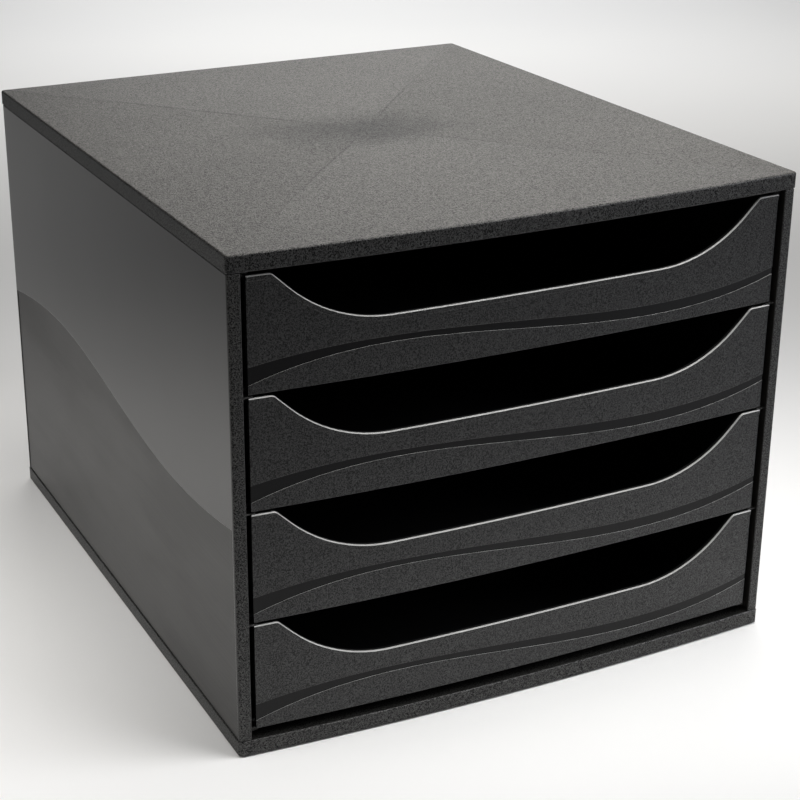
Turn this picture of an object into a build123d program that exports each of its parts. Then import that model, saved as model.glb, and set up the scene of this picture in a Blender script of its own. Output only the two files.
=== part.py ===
from build123d import *

import os
from math import cos, pi, radians, sqrt, tan

# Desktop drawer unit for A4-plus papers: a casing of five moulded panels on four
# rubber feet, and four one-piece drawers that run on rails of the side panels.
# X is the width, -Y the bowed front, +Z up; the feet stand on Z = 0.

# ---- Overall sizes ---------------------------------------------------------------
overall_width = 284.0
overall_depth = 336.0  # from the middle of the bowed front to the back
front_bow = 5.0  # how far the middle of the front stands before its corners
body_height = 235.5  # casing alone, without its feet

# ---- Top and base panels -----------------------------------------------------------
top_edge_height = 7.8
base_edge_height = 7.3
slab_wall = 2.4  # plate and skirt
slab_corner_radius = 2.0
top_edge_radius = 1.0
slab_seam_chamfer = 0.5
slab_rib_thickness = 1.6
slab_rib_depth = 3.0
slab_rib_pitch = 56.0
slab_rib_rows = 5

# ---- Side and back panels ----------------------------------------------------------
side_inset = 0.3  # the sides stand this far inside the slabs' edges
side_wall = 2.4
side_edge_radius = 1.6
post_edge_radius = 0.5  # on the post's edge beside the drawers
seam_chamfer = 0.5
post_width = 5.9  # front return of a side panel
post_depth = 10.0
post_lip = 2.0
back_wall = 2.2
groove_rib = 1.6
fit_gap = 0.15  # between pieces that clip or slide together

wave_step = 0.3  # the lower part of each side lies this much deeper
wave_middle = 109.7  # mean height of the wave line over the base panel
wave_rise = 10.4
wave_length = 368.0
wave_crest_y = 87.0
wave_margin = 2.4  # plain border before and behind the wave field

# ---- Rails on the side panels ------------------------------------------------------
rail_reach = 8.1  # how far a rail stands in from the side wall
rail_tip_thickness = 1.8
rail_root_thickness = 2.6
rail_rear_gap = 14.0  # from the rail's end to the back panel
nose_thickness = 0.6  # thin front end that shows between two drawers
nose_setback = 1.2  # behind the corner of the bowed front
side_rib_thickness = 1.6
side_rib_height = 3.0
side_rib_pitch = 90.0
running_gap = 0.3
top_rail_gap = 1.2  # from the uppermost rail to the top panel

# ---- Clips between the panels ------------------------------------------------------
clip_thickness = 1.8
clip_length = 26.0
clip_pitch = 80.0
clip_count = 4
clip_root = 4.0  # height over which a clip is joined to the side wall
clip_barb = 0.7
clip_barb_height = 1.6
clip_lead = 0.4  # the clip's tip is this much thinner, to find its slot
clip_stop_thickness = 1.5

# ---- Feet --------------------------------------------------------------------------
foot_radius = 8.7
foot_thickness = 2.0
foot_proud = 0.8
foot_gap = 0.3
foot_boss_wall = 2.0
foot_from_side = 24.0
foot_from_front_corner = 25.0
foot_from_back = 23.0

# ---- Drawers -----------------------------------------------------------------------
drawer_count = 4
first_drawer_lift = 4.3  # from the base panel up to the lowest drawer's front
front_gap = 1.2  # from one front up to the next
front_side_gap = 2.7  # from a front to the post beside it
front_recess = 1.5  # the front's border behind the casing's bowed front
front_wall = 2.6
front_edge_chamfer = 0.4
border_width = 2.4  # raised border along the scoop and the shoulders
border_height = 0.4

scoop_depth = 25.5
shoulder_width = 11.1  # flat top of the front beside the scoop
scoop_slope = 43.5  # degrees
scoop_radius = 68.0
shoulder_radius = 3.0

band_step = 0.2  # depth of the polished wave band in the front
band_end_high = 12.5  # upper line, at the left edge
band_crest = (-52.0, 17.1)
band_middle = (5.0, 13.7)
band_trough = (60.0, 10.7)
band_far_high = 17.4
band_end_low = 4.4  # lower line, at the left edge
band_low_crest = (-70.0, 14.5)
band_low_middle = (0.0, 10.2)
band_low_trough = (48.0, 6.2)
band_far_low = 14.2

tray_side_gap = 0.2  # from the tray's wall to the tips of the rails
tray_wall = 2.0
tray_floor = 2.0
rim_drop = 2.0  # the tray's rim lies this much below the front's shoulders
tray_rear_gap = 3.0  # between a closed drawer and the back panel's groove
tray_corner_radius = 5.0
tray_floor_chamfer = 1.5  # between the floor and the walls

rim_width = 2.4
rim_thickness = 1.8
runner_width = 4.2
runner_thickness = 2.0
flange_front_gap = 3.0  # from the front wall to the rims and runners

drawer_travel = 250.0
stop_length = 4.0
stop_height = 9.0
stop_behind_post = 1.0
stop_gap = 0.4  # between a stop and the rim that passes it
lug_length = 6.0
lug_height = 10.0

# ---- Places worked out from these sizes ----------------------------------------------
half_width = overall_width / 2
front_y = -overall_depth / 2
back_y = overall_depth / 2
bow_radius = (half_width**2 + front_bow**2) / (2 * front_bow)
bow_centre_y = front_y + bow_radius
corner_y = front_y + front_bow

base_under = foot_proud
base_top = base_under + base_edge_height
base_plate_under = base_top - slab_wall
top_face = base_under + body_height
top_under = top_face - top_edge_height
top_plate_under = top_face - slab_wall

side_outer = half_width - side_inset
side_inner = side_outer - side_wall
side_rear = back_y - side_inset
post_inner = side_outer - post_width
post_rear = corner_y + post_depth
return_front = side_rear - side_wall
back_panel_rear = return_front - fit_gap
back_panel_front = back_panel_rear - back_wall
groove_rib_rear = back_panel_front - fit_gap
groove_rib_front = groove_rib_rear - groove_rib

clip_outer = half_width - slab_wall - fit_gap
clip_inner = clip_outer - clip_thickness
clip_middle = (clip_outer + clip_inner) / 2
clip_places = [clip_pitch * (i - (clip_count - 1) / 2) for i in range(clip_count)]
clip_stop_outer = clip_inner - fit_gap
clip_stop_middle = clip_stop_outer - clip_stop_thickness / 2
slab_rib_end = clip_inner - clip_barb - 2 * fit_gap
base_catch_z = base_plate_under - fit_gap
top_catch_z = (top_under + top_plate_under - clip_barb_height) / 2

rail_inner = side_inner - rail_reach
first_level = base_top + first_drawer_lift
drawer_pitch = (top_under - top_rail_gap + running_gap - first_level) / drawer_count
drawer_levels = [first_level + drawer_pitch * i for i in range(drawer_count)]
rail_tops = [first_level + drawer_pitch * i - running_gap for i in range(drawer_count + 1)]

front_half = post_inner - front_side_gap
front_height = drawer_pitch - front_gap
front_inner_recess = front_recess + front_wall
scoop_half_width = front_half - shoulder_width
tray_half = rail_inner - tray_side_gap
tray_side_height = front_height - rim_drop
tray_rear = groove_rib_front - tray_rear_gap
flange_front = corner_y + front_inner_recess + flange_front_gap
flange_rear = tray_rear - tray_corner_radius
flange_length = flange_rear - flange_front
flange_middle_y = (flange_front + flange_rear) / 2
runner_middle = tray_half + (runner_width - tray_wall) / 2
rim_middle = tray_half + (rim_width - tray_wall) / 2
stop_front = post_rear + stop_behind_post
stop_rear = stop_front + stop_length
stop_inner = tray_half + rim_width + stop_gap
lug_front = stop_rear + drawer_travel + running_gap


def bow_y(x, inset):
    """Y of the bowed front at x, a distance inside the casing's own front."""
    return bow_centre_y - sqrt((bow_radius - inset) ** 2 - x**2)


def bowed_face(half, inset, rear):
    """Plan outline with a bowed front and a straight back."""
    corner = bow_y(half, inset)
    with BuildSketch() as outline:
        with BuildLine():
            ThreePointArc((-half, corner), (0, bow_y(0, inset)), (half, corner))
            Polyline((half, corner), (half, rear), (-half, rear), (-half, corner))
        make_face()
    return outline.sketch


def bowed_strip(half, outer_inset, inner_inset):
    """Plan outline of a wall that follows the bowed front."""
    outer_corner = bow_y(half, outer_inset)
    inner_corner = bow_y(half, inner_inset)
    with BuildSketch() as outline:
        with BuildLine():
            ThreePointArc((-half, outer_corner), (0, bow_y(0, outer_inset)), (half, outer_corner))
            Line((half, outer_corner), (half, inner_corner))
            ThreePointArc((half, inner_corner), (0, bow_y(0, inner_inset)), (-half, inner_corner))
            Line((-half, inner_corner), (-half, outer_corner))
        make_face()
    return outline.sketch


def cross_plane(y):
    """Upright plane across the unit: local X is X, local Y is Z, extrusions go towards -Y."""
    return Plane.XZ.offset(-y)


# ---- Base panel: shallow moulded tray, open below, with ribs, foot bosses and clip slots
foot_places = [
    (sign * (half_width - foot_from_side), y)
    for sign in (-1, 1)
    for y in (corner_y + foot_from_front_corner, back_y - foot_from_back)
]
rib_span = groove_rib_front - corner_y - 2 * slab_wall
rib_middle = (groove_rib_front + corner_y) / 2

with BuildPart() as base_panel:
    with BuildSketch(Plane.XY.offset(base_under)):
        add(bowed_face(half_width, 0, back_y))
        fillet(vertices(), slab_corner_radius)
    extrude(amount=base_edge_height)
    chamfer(faces().sort_by(Axis.Z)[-1].edges(), slab_seam_chamfer)
    with BuildSketch(Plane.XY.offset(base_under)):
        add(bowed_face(half_width - slab_wall, slab_wall, back_y - slab_wall))
    extrude(amount=base_edge_height - slab_wall, mode=Mode.SUBTRACT)
    with BuildSketch(Plane.XY.offset(base_plate_under)):
        with Locations((0, rib_middle)):
            with GridLocations(slab_rib_pitch, 0, slab_rib_rows, 1):
                Rectangle(slab_rib_thickness, rib_span)
            with GridLocations(0, slab_rib_pitch, 1, slab_rib_rows):
                Rectangle(2 * slab_rib_end, slab_rib_thickness)
    extrude(amount=-slab_rib_depth)
    with BuildSketch(Plane.XY.offset(base_under)):
        with Locations(*foot_places):
            Circle(foot_radius + foot_gap + foot_boss_wall)
    extrude(amount=base_edge_height - slab_wall)
    with BuildSketch(Plane.XY.offset(base_under)):
        with Locations(*foot_places):
            Circle(foot_radius + foot_gap)
    extrude(amount=foot_thickness - foot_proud, mode=Mode.SUBTRACT)
    with BuildSketch(Plane.XY.offset(base_under)):
        with Locations(*[(sign * clip_middle, y) for sign in (-1, 1) for y in clip_places]):
            Rectangle(clip_thickness + 2 * fit_gap, clip_length + 2 * fit_gap)
    extrude(amount=base_edge_height, mode=Mode.SUBTRACT)
base_panel.part.label = "base_panel"

# ---- Feet: four rubber discs pressed into the base panel's bosses --------------------
foot_names = ["left_front_foot", "left_rear_foot", "right_front_foot", "right_rear_foot"]
feet = []
for foot_name, foot_place in zip(foot_names, foot_places):
    with BuildPart() as foot:
        with BuildSketch():
            with Locations(foot_place):
                Circle(foot_radius)
        extrude(amount=foot_thickness)
    foot.part.label = foot_name
    feet.append(foot.part)

# ---- Top panel: the same kind of tray, open downwards, with ribs that hold the clips ---
with BuildPart() as top_panel:
    with BuildSketch(Plane.XY.offset(top_under)):
        add(bowed_face(half_width, 0, back_y))
        fillet(vertices(), slab_corner_radius)
    extrude(amount=top_edge_height)
    fillet(faces().sort_by(Axis.Z)[-1].edges(), top_edge_radius)
    chamfer(faces().sort_by(Axis.Z)[0].edges(), slab_seam_chamfer)
    with BuildSketch(Plane.XY.offset(top_under)):
        add(bowed_face(half_width - slab_wall, slab_wall, back_y - slab_wall))
    extrude(amount=top_edge_height - slab_wall, mode=Mode.SUBTRACT)
    with BuildSketch(Plane.XY.offset(top_plate_under)):
        with Locations((0, rib_middle)):
            with GridLocations(slab_rib_pitch, 0, slab_rib_rows, 1):
                Rectangle(slab_rib_thickness, rib_span)
            with GridLocations(0, slab_rib_pitch, 1, slab_rib_rows):
                Rectangle(2 * slab_rib_end, slab_rib_thickness)
    extrude(amount=-slab_rib_depth)
    with BuildSketch(Plane.XY.offset(top_plate_under)):
        with Locations((-clip_stop_middle, 0), (clip_stop_middle, 0)):
            Rectangle(clip_stop_thickness, clip_pitch * (clip_count - 1) + 2 * clip_length)
    extrude(amount=-(top_edge_height - slab_wall - seam_chamfer))
    for sign in (-1, 1):
        with BuildSketch(Plane.YZ.offset(sign * clip_stop_middle)):
            with Locations(*[(y, top_catch_z + clip_barb_height / 2) for y in clip_places]):
                Rectangle(clip_length + 2 * fit_gap, clip_barb_height + 2 * fit_gap)
        extrude(amount=clip_stop_thickness, both=True, mode=Mode.SUBTRACT)
top_panel.part.label = "top_panel"

# ---- Side panels: polished skin with a wave, front post, rear return, rails and clips --
outer_corner = bow_y(side_outer, side_inset)
wave_front = corner_y + wave_margin
wave_rear = side_rear - wave_margin
wave_stations = [wave_front + (wave_rear - wave_front) * i / 8 for i in range(9)]
rail_front = bow_y(rail_inner, front_inner_recess) + 2 * running_gap
rail_rear = back_panel_front - rail_rear_gap
nose_front = corner_y + nose_setback


def wave_z(y):
    """Height of the line that divides a side panel."""
    return base_top + wave_middle + wave_rise * cos(2 * pi * (y - wave_crest_y) / wave_length)


with BuildPart() as right_side_panel:
    with BuildSketch(Plane.XY.offset(base_top)):
        with BuildLine():
            Polyline(
                (post_inner, bow_y(post_inner, side_inset)),
                (side_outer, outer_corner),
                (side_outer, side_rear),
                (post_inner, side_rear),
                (post_inner, return_front),
                (side_inner, return_front),
                (side_inner, groove_rib_rear),
                (post_inner, groove_rib_rear),
                (post_inner, groove_rib_front),
                (side_inner, groove_rib_front),
                (side_inner, outer_corner + side_wall),
                (post_inner + post_lip, outer_corner + side_wall),
                (post_inner + post_lip, post_rear),
                (post_inner, post_rear),
                close=True,
            )
        make_face()
        fillet(vertices().group_by(Axis.X)[-1], side_edge_radius)
        fillet(vertices().sort_by(Axis.Y)[0], post_edge_radius)
    extrude(amount=top_under - base_top)
    chamfer(edges().filter_by(Axis.Y).group_by(Axis.X)[-1], seam_chamfer)
    with BuildSketch(Plane.YZ.offset(side_outer)):
        with BuildLine():
            Spline(*[(y, wave_z(y)) for y in wave_stations])
            Polyline(
                (wave_rear, wave_z(wave_rear)),
                (wave_rear, base_top - seam_chamfer),
                (wave_front, base_top - seam_chamfer),
                (wave_front, wave_z(wave_front)),
            )
        make_face()
    extrude(amount=-wave_step, mode=Mode.SUBTRACT)
    with BuildSketch(cross_plane(rail_front)):
        with BuildLine():
            Polyline(
                (side_inner, 0),
                (rail_inner, 0),
                (rail_inner, -rail_tip_thickness),
                (side_inner, -rail_root_thickness),
                close=True,
            )
        rail_section = make_face(mode=Mode.PRIVATE)
        with Locations(*[(0, z) for z in rail_tops]):
            add(rail_section)
    extrude(amount=rail_front - rail_rear)
    for nose_top in rail_tops[1:-1]:
        with BuildSketch(Plane.XY.offset(nose_top - nose_thickness)):
            with Locations((rail_inner, nose_front)):
                Rectangle(post_inner + post_lip - rail_inner, post_depth, align=Align.MIN)
        extrude(amount=nose_thickness)
    with BuildSketch(Plane.XY.offset(base_top)):
        with Locations(*[(side_inner - side_rib_height, side_rib_pitch * i) for i in (-1, 0, 1)]):
            Rectangle(side_rib_height, side_rib_thickness, align=(Align.MIN, Align.CENTER))
    extrude(amount=top_under - base_top)
    for stop_top in rail_tops[1:]:
        with BuildSketch(Plane.XY.offset(stop_top - rail_tip_thickness)):
            with Locations((stop_inner, stop_front)):
                Rectangle(side_inner - stop_inner, stop_length, align=Align.MIN)
        extrude(amount=-stop_height)
    for clip_y in clip_places:
        with BuildSketch(cross_plane(clip_y + clip_length / 2)):
            with BuildLine():
                Polyline(
                    (clip_outer, base_top + clip_root),
                    (clip_outer, base_catch_z - clip_barb_height),
                    (clip_inner + clip_lead, base_catch_z - clip_barb_height),
                    (clip_inner - clip_barb, base_catch_z),
                    (clip_inner, base_catch_z),
                    (clip_inner, base_top + clip_root),
                    close=True,
                )
            make_face()
            with BuildLine():
                Polyline(
                    (clip_outer, top_under - clip_root),
                    (clip_outer, top_catch_z + clip_barb_height),
                    (clip_inner + clip_lead, top_catch_z + clip_barb_height),
                    (clip_inner - clip_barb, top_catch_z),
                    (clip_inner, top_catch_z),
                    (clip_inner, top_under - clip_root),
                    close=True,
                )
            make_face()
        extrude(amount=clip_length)
right_side_panel.part.label = "right_side_panel"

with BuildPart() as left_side_panel:
    mirror(right_side_panel.part, about=Plane.YZ)
left_side_panel.part.label = "left_side_panel"

# ---- Back panel: flat plate that stands in the grooves of the side panels --------------
with BuildPart() as back_panel:
    with BuildSketch(cross_plane(back_panel_rear)):
        with Locations((0, base_top)):
            Rectangle(
                2 * (side_inner - fit_gap),
                top_plate_under - fit_gap - base_top,
                align=(Align.CENTER, Align.MIN),
            )
    extrude(amount=back_wall)
back_panel.part.label = "back_panel"


# ---- Drawers: one-piece trays with a bowed front, a wide scoop and a wave band ---------
def scoop_face(drop):
    """Elevation of what is cut away above the scoop, or above a line lying below its edge."""
    half_turn = tan(radians(scoop_slope) / 2)
    edge_z = front_height - drop
    edge_x = scoop_half_width + drop * half_turn
    floor_x = scoop_half_width - scoop_depth / tan(radians(scoop_slope)) + drop * half_turn
    with BuildSketch() as outline:
        with BuildLine():
            Polyline(
                (-half_width, edge_z),
                (-edge_x, edge_z),
                (-floor_x, edge_z - scoop_depth),
                (floor_x, edge_z - scoop_depth),
                (edge_x, edge_z),
                (half_width, edge_z),
                (half_width, 2 * front_height),
                (-half_width, 2 * front_height),
                close=True,
            )
        make_face()
        fillet(vertices().group_by(Axis.Y)[0], scoop_radius + drop)
        shoulder_corners = vertices().group_by(Axis.Y)[-2].filter_by(lambda v: abs(v.X) < front_half)
        fillet(shoulder_corners, shoulder_radius - drop)
    return outline.sketch


with BuildPart() as field_cut:
    with BuildSketch():
        add(bowed_strip(half_width, 0, front_recess + border_height))
    extrude(amount=front_height)
    with BuildSketch(cross_plane(corner_y + post_depth)):
        add(scoop_face(border_width))
    extrude(amount=2 * post_depth, mode=Mode.SUBTRACT)

with BuildPart() as band_cut:
    with BuildSketch():
        add(bowed_strip(front_half, 0, front_recess + border_height + band_step))
    extrude(amount=front_height)
    with BuildSketch(cross_plane(corner_y + post_depth)):
        with BuildLine():
            Spline(
                (-front_half, band_end_high),
                band_crest,
                band_middle,
                band_trough,
                (front_half, band_far_high),
            )
            Line((front_half, band_far_high), (front_half, band_far_low))
            Spline(
                (front_half, band_far_low),
                band_low_trough,
                band_low_middle,
                band_low_crest,
                (-front_half, band_end_low),
            )
            Line((-front_half, band_end_low), (-front_half, band_end_high))
        make_face()
    extrude(amount=2 * post_depth, mode=Mode.INTERSECT)

with BuildPart() as drawer_form:
    with BuildSketch():
        add(bowed_face(tray_half, front_recess + border_height, tray_rear))
        fillet(vertices().group_by(Axis.Y)[-1], tray_corner_radius)
    extrude(amount=tray_side_height)
    with BuildSketch():
        add(bowed_strip(front_half, front_recess, front_inner_recess))
    extrude(amount=front_height)
    with BuildSketch(Plane.XY.offset(tray_floor)):
        add(bowed_face(tray_half - tray_wall, front_inner_recess, tray_rear - tray_wall))
        fillet(vertices(), tray_corner_radius - tray_wall)
    extrude(amount=front_height, mode=Mode.SUBTRACT)
    inner_floor = faces().filter_by(Axis.Z).filter_by_position(Axis.Z, tray_floor, tray_floor)
    chamfer(inner_floor.edges(), tray_floor_chamfer)
    for sign in (-1, 1):
        with BuildSketch():
            with Locations((sign * runner_middle, flange_middle_y)):
                Rectangle(runner_width + tray_wall, flange_length)
        extrude(amount=runner_thickness)
        with BuildSketch(Plane.XY.offset(tray_side_height)):
            with Locations((sign * rim_middle, flange_middle_y)):
                Rectangle(rim_width + tray_wall, flange_length)
        extrude(amount=-rim_thickness)
        with BuildSketch(Plane.XY.offset(tray_side_height)):
            with Locations((sign * runner_middle, lug_front + lug_length / 2)):
                Rectangle(runner_width + tray_wall, lug_length)
        extrude(amount=-lug_height)
    with BuildSketch(cross_plane(corner_y + post_depth)):
        add(scoop_face(0))
    extrude(amount=2 * post_depth, mode=Mode.SUBTRACT)
    outer_skin = faces().filter_by(GeomType.CYLINDER).sort_by(SortBy.AREA)[-1]
    upper_edges = outer_skin.edges().filter_by(lambda e: e.center().Z > front_height / 2)
    chamfer(upper_edges, front_edge_chamfer)
    add(field_cut.part, mode=Mode.SUBTRACT)
    lower_edge = edges().filter_by(GeomType.CIRCLE).group_by(Axis.Z)[0].sort_by(Axis.Y)[0]
    chamfer(lower_edge, front_edge_chamfer)
    add(band_cut.part, mode=Mode.SUBTRACT)

drawers = []
for drawer_number, level in zip(range(drawer_count, 0, -1), drawer_levels):
    with BuildPart() as drawer:
        with Locations((0, 0, level)):
            add(drawer_form.part)
    drawer.part.label = f"drawer_{drawer_number}"
    drawers.append(drawer.part)

# ---- One file for each piece ------------------------------------------------------------
os.makedirs("parts", exist_ok=True)
panels = [base_panel.part, top_panel.part, left_side_panel.part, right_side_panel.part, back_panel.part]
for piece in panels + feet + drawers:
    export_step(piece, f"parts/{piece.label}.step")
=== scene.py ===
from math import pi, radians

import bpy
from mathutils import Matrix, Vector


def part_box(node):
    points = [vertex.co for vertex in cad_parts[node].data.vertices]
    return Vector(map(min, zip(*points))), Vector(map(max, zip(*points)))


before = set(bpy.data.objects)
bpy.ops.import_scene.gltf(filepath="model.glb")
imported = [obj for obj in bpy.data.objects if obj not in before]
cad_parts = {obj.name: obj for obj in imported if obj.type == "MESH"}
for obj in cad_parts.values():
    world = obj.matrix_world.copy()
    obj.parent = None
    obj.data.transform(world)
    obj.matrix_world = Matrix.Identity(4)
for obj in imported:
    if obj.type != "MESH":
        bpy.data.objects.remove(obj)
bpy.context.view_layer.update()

# ---- Base panel -----------------------------------------------------------------------------
# The base is a shallow tray, injection moulded in black polystyrene. Its mould is spark eroded,
# which leaves a fine even grain on every outer face. The side panels clip into its slots.

grain_size = 0.0005
coarse_grain_size = 0.0009
coarse_grain_share = 0.35
grain_depth = 0.00022
pit_heights = (0.38, 0.62)
# The grain's pits are painted darker by this share, as painted shade in the hollows.
pit_painted_shade = 0.95
shine_heights = (0.36, 0.64)
pit_shine = 0.12
crest_shine = 0.88
smooth_shine = 0.5
edge_softness = 0.0004
edge_samples = 6
cloud_size = 0.09
cloud_span = (0.3, 0.7)
casing_black = (0.0165, 0.0160, 0.0148, 1)
casing_faded_black = (0.0175, 0.0170, 0.0157, 1)
casing_roughness = 0.43
casing_roughness_drift = 0.01


class Finish:
    """A moulded finish under construction: its material, its nodes and its shader."""

    def __init__(self, name):
        self.material = bpy.data.materials.new(name)
        self.material.use_nodes = True
        self.tree = self.material.node_tree
        self.shader = self.tree.nodes["Principled BSDF"]
        coordinates = self.add("ShaderNodeTexCoord")
        self.place = coordinates.outputs["Object"]
        self.facing = coordinates.outputs["Normal"]

    def add(self, kind, **settings):
        node = self.tree.nodes.new(kind)
        for name, value in settings.items():
            setattr(node, name, value)
        return node

    def fill(self, socket, source):
        """Links a socket to another node's output, or sets it to a plain value."""
        if isinstance(source, bpy.types.NodeSocket):
            self.tree.links.new(source, socket)
        else:
            socket.default_value = source

    def give(self, name, source):
        """Fills one of the shader's own sockets."""
        self.fill(self.shader.inputs[name], source)

    def calculate(self, operation, *values):
        node = self.add("ShaderNodeMath", operation=operation)
        for socket, value in zip(node.inputs, values):
            self.fill(socket, value)
        return node.outputs["Value"]

    def distance(self, x, y):
        """How far a point at x and y lies from the middle."""
        squares = self.calculate("MULTIPLY_ADD", x, x, self.calculate("MULTIPLY", y, y))
        return self.calculate("SQRT", squares)

    def ramp(self, value, start, end, first=0.0, last=1.0):
        """Goes smoothly from first to last while value goes from start to end."""
        node = self.add("ShaderNodeMapRange", interpolation_type="SMOOTHSTEP")
        for socket, source in zip(node.inputs, (value, start, end, first, last)):
            self.fill(socket, source)
        return node.outputs["Result"]

    def mix(self, share, first, last, kind="RGBA"):
        node = self.add("ShaderNodeMix", data_type=kind)
        sockets = [s for s in node.inputs if s.enabled]
        for socket, source in zip(sockets, (share, first, last)):
            self.fill(socket, source)
        return next(s for s in node.outputs if s.enabled)

    def parts(self, vector):
        node = self.add("ShaderNodeSeparateXYZ")
        self.fill(node.inputs["Vector"], vector)
        return node.outputs

    def noise(self, size, detail=2.0, stretch=(1, 1, 1)):
        mapping = self.add("ShaderNodeMapping")
        self.fill(mapping.inputs["Vector"], self.place)
        mapping.inputs["Scale"].default_value = stretch
        node = self.add("ShaderNodeTexNoise")
        self.fill(node.inputs["Vector"], mapping.outputs["Vector"])
        node.inputs["Scale"].default_value = 1 / size
        node.inputs["Detail"].default_value = detail
        return node.outputs["Fac"]

    def soft_edges(self):
        """The surface's direction, with every sharp edge rounded a little."""
        node = self.add("ShaderNodeBevel", samples=edge_samples)
        node.inputs["Radius"].default_value = edge_softness
        return node.outputs["Normal"]

    def relief(self, height, depth, normal):
        node = self.add("ShaderNodeBump")
        node.inputs["Distance"].default_value = depth
        self.fill(node.inputs["Height"], height)
        self.fill(node.inputs["Normal"], normal)
        return node.outputs["Normal"]

    def grain(self):
        """Height of the eroded grain, from 0 to 1."""
        fine = self.noise(grain_size, detail=1.0)
        coarse = self.noise(coarse_grain_size, detail=1.0)
        fine_part = self.calculate("MULTIPLY", fine, 1 - coarse_grain_share)
        return self.calculate("MULTIPLY_ADD", coarse, coarse_grain_share, fine_part)

    def colour_with_pit_shade(self, colour, height, share=1.0):
        """The pits of the grain are painted darker than its crests, as painted shade in the
        hollows.
        """
        pits = self.ramp(height, *pit_heights, pit_painted_shade, 0.0)
        node = self.add("ShaderNodeMix", data_type="RGBA", blend_type="MULTIPLY")
        self.fill(node.inputs["Factor"], self.calculate("MULTIPLY", pits, share))
        self.fill(node.inputs["A"], colour)
        node.inputs["B"].default_value = (0, 0, 0, 1)
        return next(s for s in node.outputs if s.enabled)

    def grained_shine(self, height, share=1.0, plain=smooth_shine):
        """The pits shine less than the crests, which makes the grain sparkle."""
        shine = self.ramp(height, *shine_heights, pit_shine, crest_shine)
        self.give("Specular IOR Level", self.mix(share, plain, shine, "FLOAT"))

    def put_on(self, *node_names):
        for name in node_names:
            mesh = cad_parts[name].data
            mesh.materials.clear()
            mesh.materials.append(self.material)


def grained_plastic(name):
    finish = Finish(name)
    grain = finish.grain()
    clouds = finish.ramp(finish.noise(cloud_size, detail=3.0), *cloud_span)
    colour = finish.mix(clouds, casing_black, casing_faded_black)
    smoothest = casing_roughness - casing_roughness_drift
    roughest = casing_roughness + casing_roughness_drift
    finish.give("Base Color", finish.colour_with_pit_shade(colour, grain))
    finish.give("Roughness", finish.ramp(clouds, 0.0, 1.0, smoothest, roughest))
    finish.give("Normal", finish.relief(grain, grain_depth, finish.soft_edges()))
    finish.grained_shine(grain)
    return finish


grained_plastic("base_grain").put_on("base_panel")

# ---- Feet -----------------------------------------------------------------------------------
# Four discs of soft black rubber are pressed into the bosses under the base panel. They keep
# the unit from sliding, and only a thin ring of each shows below the base.

rubber_black = (0.012, 0.012, 0.012, 1)
rubber_dust = (0.03, 0.029, 0.027, 1)
rubber_roughness = 0.85
dust_roughness = 0.95
dust_size = 0.006
dust_span = (0.45, 0.75)
rubber_pit_size = 0.0012
rubber_pit_depth = 0.00005

rubber = Finish("foot_rubber")
dust = rubber.ramp(rubber.noise(dust_size, detail=3.0), *dust_span)
rubber_pits = rubber.noise(rubber_pit_size)
rubber.give("Base Color", rubber.mix(dust, rubber_black, rubber_dust))
rubber.give("Roughness", rubber.ramp(dust, 0, 1, rubber_roughness, dust_roughness))
rubber.give("Normal", rubber.relief(rubber_pits, rubber_pit_depth, rubber.soft_edges()))
rubber.put_on("left_front_foot", "left_rear_foot", "right_front_foot", "right_rear_foot")

# ---- Side panels ----------------------------------------------------------------------------
# Each side is one moulding with its front post, rails and clips. The skin is polished above a
# wave line and satin below it, where it lies a little deeper; the post has the casing's grain.

side_black = (0.0050, 0.0050, 0.0054, 1)
side_satin_black = (0.0115, 0.0105, 0.0093, 1)
polish_roughness = 0.05
satin_roughness = 0.34
skin_facing = (0.75, 0.95)
wave_step = 0.0003
wave_step_blend = (wave_step * 0.4, wave_step * 0.6)
streak_size = 0.0011
streak_stretch = (1, 0.03, 1)
streak_share = 0.22
sink_size = 0.06
sink_depth = 0.00012
haze_size = 0.03
haze_stretch = (1, 0.25, 1)
haze_span = (0.4, 0.7)
haze_roughness = 0.05

side = Finish("side_skin")
side_grain = side.grain()
outward = side.calculate("ABSOLUTE", side.parts(side.facing)[0])
is_skin = side.ramp(outward, *skin_facing)
is_post = side.calculate("SUBTRACT", 1.0, is_skin)
skin_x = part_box("right_side_panel")[1][0]
from_middle = side.calculate("ABSOLUTE", side.parts(side.place)[0])
depth_in = side.calculate("SUBTRACT", skin_x, from_middle)
is_satin = side.ramp(depth_in, *wave_step_blend)

skin_colour = side.mix(is_satin, side_black, side_satin_black)
post_colour = side.colour_with_pit_shade(casing_black, side_grain)
side.give("Base Color", side.mix(is_skin, post_colour, skin_colour))
side.grained_shine(side_grain, is_post)

haze = side.noise(haze_size, detail=4.0, stretch=haze_stretch)
haze = side.ramp(haze, *haze_span, 0.0, haze_roughness)
clear_roughness = side.ramp(is_satin, 0, 1, polish_roughness, satin_roughness)
skin_roughness = side.calculate("ADD", haze, clear_roughness)
side.give("Roughness", side.mix(is_skin, casing_roughness, skin_roughness, "FLOAT"))

sinks = side.calculate("MULTIPLY", side.noise(sink_size, detail=1.0), is_skin)
sunk_normal = side.relief(sinks, sink_depth, side.soft_edges())
streaks = side.noise(streak_size, detail=1.0, stretch=streak_stretch)
streak_strength = side.calculate("MULTIPLY", is_satin, streak_share)
skin_height = side.calculate("MULTIPLY", streaks, streak_strength)
side_height = side.mix(is_skin, side_grain, skin_height, "FLOAT")
side.give("Normal", side.relief(side_height, grain_depth, sunk_normal))
side.put_on("left_side_panel", "right_side_panel")

# ---- Back panel -----------------------------------------------------------------------------
# A flat plate of the same black polystyrene, with the casing's grain. It is slid into grooves
# of the two side panels before the top is pressed on.

grained_plastic("back_grain").put_on("back_panel")

# ---- Drawers --------------------------------------------------------------------------------
# Each drawer is one moulding. Its bowed front is grained, with a polished wave band and a rim
# along the scoop whose up-facing side is painted light grey as a painted highlight; the tray
# behind it is smooth.

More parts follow.
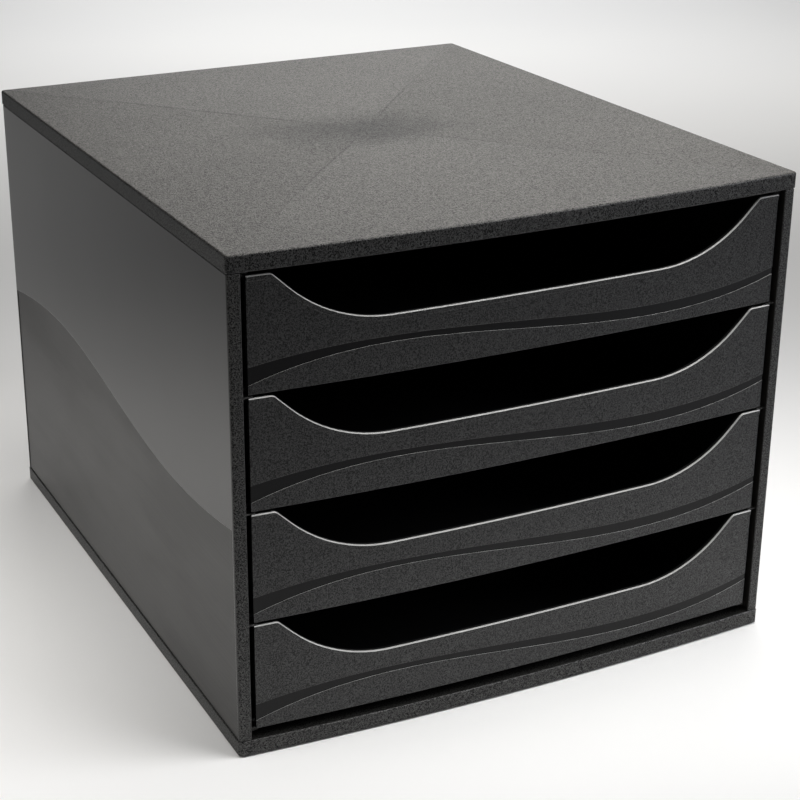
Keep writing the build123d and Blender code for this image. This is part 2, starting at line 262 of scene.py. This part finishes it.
drawer_black = (0.0115, 0.0115, 0.0121, 1)
band_black = (0.0020, 0.0020, 0.0022, 1)
# Light grey of the painted highlight on the scoop's rim.
painted_rim_highlight = (0.50, 0.50, 0.49, 1)
drawer_roughness = 0.34
band_roughness = 0.12
tray_roughness = 0.3
drawer_grain_depth = 0.00020
drawer_shine_share = 0.6
band_grain_share = 0.03
band_shine = 0.22
bow_radius = 2.0189
bow_centre_y = 1.8509
field_depth = 0.0019
band_depth = 0.0021
band_edge = (field_depth + band_depth) / 2
band_blend = 0.00004
front_thickness = 0.0009
front_end = band_depth + front_thickness
front_blend = 0.0003
rim_depth = 0.0025
rim_blend = 0.0002
rim_facing = (0.3, 0.6)

drawer = Finish("drawer_front")
drawer_grain = drawer.grain()
across, along = drawer.parts(drawer.place)[:2]
from_axis = drawer.calculate("SUBTRACT", along, bow_centre_y)
behind_bow = drawer.calculate("SUBTRACT", bow_radius, drawer.distance(across, from_axis))
is_front = drawer.ramp(behind_bow, front_end - front_blend, front_end, 1.0, 0.0)
is_deep = drawer.ramp(behind_bow, band_edge - band_blend, band_edge + band_blend)
is_band = drawer.calculate("MULTIPLY", is_deep, is_front)
is_outer = drawer.ramp(behind_bow, rim_depth - rim_blend, rim_depth, 1.0, 0.0)
faces_up = drawer.ramp(drawer.parts(drawer.facing)[2], *rim_facing)
is_rim_highlight = drawer.calculate("MULTIPLY", faces_up, is_outer)

field_colour = drawer.colour_with_pit_shade(drawer_black, drawer_grain, is_front)
front_colour = drawer.mix(is_band, field_colour, band_black)
# The up-facing rim along the scoop is painted light grey: a painted highlight.
drawer.give("Base Color", drawer.mix(is_rim_highlight, front_colour, painted_rim_highlight))

front_roughness = drawer.mix(is_band, drawer_roughness, band_roughness, "FLOAT")
drawer.give("Roughness", drawer.mix(is_front, tray_roughness, front_roughness, "FLOAT"))

grain_left = drawer.ramp(is_deep, 0.0, 1.0, 1.0, band_grain_share)
grain_share = drawer.calculate("MULTIPLY", is_front, grain_left)
front_height = drawer.calculate("MULTIPLY", drawer_grain, grain_share)
drawer.give("Normal", drawer.relief(front_height, drawer_grain_depth, drawer.soft_edges()))

shine_share = drawer.calculate("MULTIPLY", grain_share, drawer_shine_share)
plain_shine = drawer.mix(is_band, smooth_shine, band_shine, "FLOAT")
drawer.grained_shine(drawer_grain, shine_share, plain_shine)
drawer.put_on("drawer_1", "drawer_2", "drawer_3", "drawer_4")

# ---- Top panel ------------------------------------------------------------------------------
# The top is the same kind of tray as the base. Its plastic entered at the middle, so faint flow
# lines run from there to the four corners, and the one to the rear left corner is the clearest.

# The top's up-facing faces are painted lighter as a painted sheen, and its other faces darker
# than the casing as painted shade.
painted_sheen_black = (0.0470, 0.0430, 0.0360, 1)
top_marked_black = (0.0120, 0.0115, 0.0105, 1)
painted_shade_edge_black = (0.0095, 0.0094, 0.0092, 1)
painted_sheen_facing = (0.6, 0.9)
top_roughness = 0.43
marked_roughness = 0.53
side_flow_roughness = 0.455
side_flow_blend = 0.03
crease_half_width = 0.010
strong_half_width = 0.020
crease_wobble = 0.045
wobble_size = 0.05
crease_span = (0.1, 0.9)
crease_end = 0.15
strong_end = 0.6
rear_left_span = (0.02, 0.08)
smudge_radii = (0.045, 0.030)
smudge_span = (0.1, 1.6)
smudge_rag = 1.6
smudge_rag_size = 0.03
top_cloud_share = 0.18
gate_radius = 0.006
gate_rise = 0.25

top = Finish("top_grain")
top_grain = top.grain()
top_low, top_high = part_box("top_panel")
half_width = top_high[0]
half_depth = (top_high[1] - top_low[1]) / 2
across, along = top.parts(top.place)[:2]
out_x = top.calculate("DIVIDE", top.calculate("ABSOLUTE", across), half_width)
out_y = top.calculate("DIVIDE", top.calculate("ABSOLUTE", along), half_depth)
far_out = top.calculate("MAXIMUM", out_x, out_y)
wobble = top.noise(wobble_size)
wobble = top.calculate("MULTIPLY_ADD", wobble, crease_wobble, -crease_wobble / 2)
off_diagonal = top.calculate("ADD", top.calculate("SUBTRACT", out_x, out_y), wobble)
flows_sideways = top.ramp(off_diagonal, -side_flow_blend, side_flow_blend)

to_rear_left = top.ramp(top.calculate("SUBTRACT", along, across), *rear_left_span)
line_half_width = top.ramp(to_rear_left, 0.0, 1.0, crease_half_width, strong_half_width)
line_end = top.ramp(to_rear_left, 0.0, 1.0, crease_end, strong_end)
line = top.ramp(top.calculate("ABSOLUTE", off_diagonal), 0.0, line_half_width, 1.0, 0.0)
crease = top.calculate("MULTIPLY", line, top.ramp(far_out, *crease_span, 1.0, line_end))

smudge_x = top.calculate("DIVIDE", across, smudge_radii[0])
smudge_y = top.calculate("DIVIDE", along, smudge_radii[1])
from_gate = top.calculate("SUBTRACT", top.distance(smudge_x, smudge_y), smudge_rag / 2)
rag = top.noise(smudge_rag_size, detail=3.0)
ragged = top.calculate("MULTIPLY_ADD", rag, smudge_rag, from_gate)
smudge = top.ramp(ragged, *smudge_span, 1.0, 0.0)
clouds = top.ramp(top.noise(cloud_size, detail=3.0), *cloud_span, 0.0, top_cloud_share)
mark = top.calculate("MAXIMUM", top.calculate("MAXIMUM", crease, smudge), clouds)

face_colour = top.mix(mark, painted_sheen_black, top_marked_black)
# Up-facing faces take the lighter painted sheen colour, the other faces the darker painted
# shade.
faces_up = top.ramp(top.parts(top.facing)[2], *painted_sheen_facing)
top_colour = top.mix(faces_up, painted_shade_edge_black, face_colour)
top.give("Base Color", top.colour_with_pit_shade(top_colour, top_grain))
top.grained_shine(top_grain)

flow_roughness = top.mix(flows_sideways, top_roughness, side_flow_roughness, "FLOAT")
top.give("Roughness", top.mix(mark, flow_roughness, marked_roughness, "FLOAT"))

gate = top.ramp(top.distance(across, along), gate_radius / 2, gate_radius, gate_rise, 0.0)
top_height = top.calculate("ADD", top_grain, gate)
top.give("Normal", top.relief(top_height, grain_depth, top.soft_edges()))
top.put_on("top_panel")

# ---- Studio ---------------------------------------------------------------------------------
# The unit stands on a plain white floor in a dim even room. A soft light hangs over it with a
# small one for the drawers' rims, two stand low at the left and right front, a wide one behind
# the unit gives the top its sheen, and the last one lights only the floor far behind.

floor_size = 14
floor_white = (0.90, 0.90, 0.90, 1)
floor_worn_white = (0.92, 0.92, 0.915, 1)
floor_roughness = 0.9
floor_cloud_size = 0.4
world_white = (1, 1, 1, 1)
world_strength = 0.17
warm = (1, 0.98, 0.95)
plain = (1, 1, 1)
cool = (0.93, 0.95, 1)

bpy.ops.object.select_all(action="DESELECT")
bpy.ops.mesh.primitive_plane_add(size=floor_size)
floor = bpy.context.object
floor.name = "floor"
paper = Finish("floor_paper")
paper_clouds = paper.ramp(paper.noise(floor_cloud_size), *cloud_span)
paper.give("Base Color", paper.mix(paper_clouds, floor_white, floor_worn_white))
paper.give("Roughness", floor_roughness)
floor.data.materials.append(paper.material)

world = bpy.data.worlds.new("studio")
bpy.context.scene.world = world
world.use_nodes = True
background = world.node_tree.nodes["Background"]
background.inputs["Color"].default_value = world_white
background.inputs["Strength"].default_value = world_strength


def soft_light(name, place, target, size, spread, power, colour):
    """A rectangular soft box that looks at target; its spread is in degrees."""
    lamp = bpy.data.lights.new(name, "AREA")
    lamp.shape = "RECTANGLE"
    lamp.size, lamp.size_y = size
    lamp.spread = radians(spread)
    lamp.energy = power
    lamp.color = colour
    holder = bpy.data.objects.new(name, lamp)
    holder.location = place
    holder.rotation_euler = (Vector(target) - Vector(place)).to_track_quat("-Z", "Y").to_euler()
    bpy.context.scene.collection.objects.link(holder)


soft_light(
    "overhead_light", place=(0.14, -0.10, 0.74), target=(0.07, -0.04, 0),
    size=(0.5, 0.5), spread=62, power=0.75, colour=warm,
)
soft_light(
    "rim_light", place=(0.26, -0.42, 0.75), target=(0, -0.17, 0.12),
    size=(0.42, 0.25), spread=50, power=0.22, colour=plain,
)
soft_light(
    "left_light", place=(-0.50, -0.12, 0.55), target=(-0.28, 0.02, 0),
    size=(0.3, 0.3), spread=75, power=0.45, colour=warm,
)
soft_light(
    "right_light", place=(0.85, -0.55, 0.42), target=(0.28, -0.30, 0),
    size=(0.35, 0.35), spread=85, power=0.95, colour=cool,
)
soft_light(
    "back_light", place=(0.95, 1.50, 0.95), target=(0.38, 0.55, 0),
    size=(1.5, 0.5), spread=80, power=2.7, colour=warm,
)
soft_light(
    "background_light", place=(0.85, 1.7, 1.3), target=(0.85, 1.7, 0),
    size=(1.3, 1.3), spread=95, power=6.5, colour=plain,
)

# ---- Camera ---------------------------------------------------------------------------------
# It stands before the front left corner, higher than the unit, and looks down on it, as the
# photographer's did. Its place and length come from the eight corners of the casing; the lens
# is shifted a little, because the photo is a crop.

camera_place = (-0.3972, -0.8096, 0.4621)
camera_azimuth = radians(-24.62)
camera_elevation = radians(21.98)
camera_roll = radians(-0.51)
frame_pixels = 800
focal_pixels = 1821
centre_pixels = (320, 382)
sensor_width = 36

camera_data = bpy.data.cameras.new("camera")
camera_data.sensor_width = sensor_width
camera_data.lens = sensor_width * focal_pixels / frame_pixels
camera_data.shift_x = 0.5 - centre_pixels[0] / frame_pixels
camera_data.shift_y = centre_pixels[1] / frame_pixels - 0.5
camera = bpy.data.objects.new("camera", camera_data)
turn = Matrix.Rotation(camera_azimuth, 4, "Z")
tilt = Matrix.Rotation(pi / 2 - camera_elevation, 4, "X")
roll = Matrix.Rotation(camera_roll, 4, "Z")
camera.matrix_world = Matrix.Translation(camera_place) @ turn @ tilt @ roll
bpy.context.scene.collection.objects.link(camera)
bpy.context.scene.camera = camera
bpy.context.scene.view_settings.view_transform = "Standard"
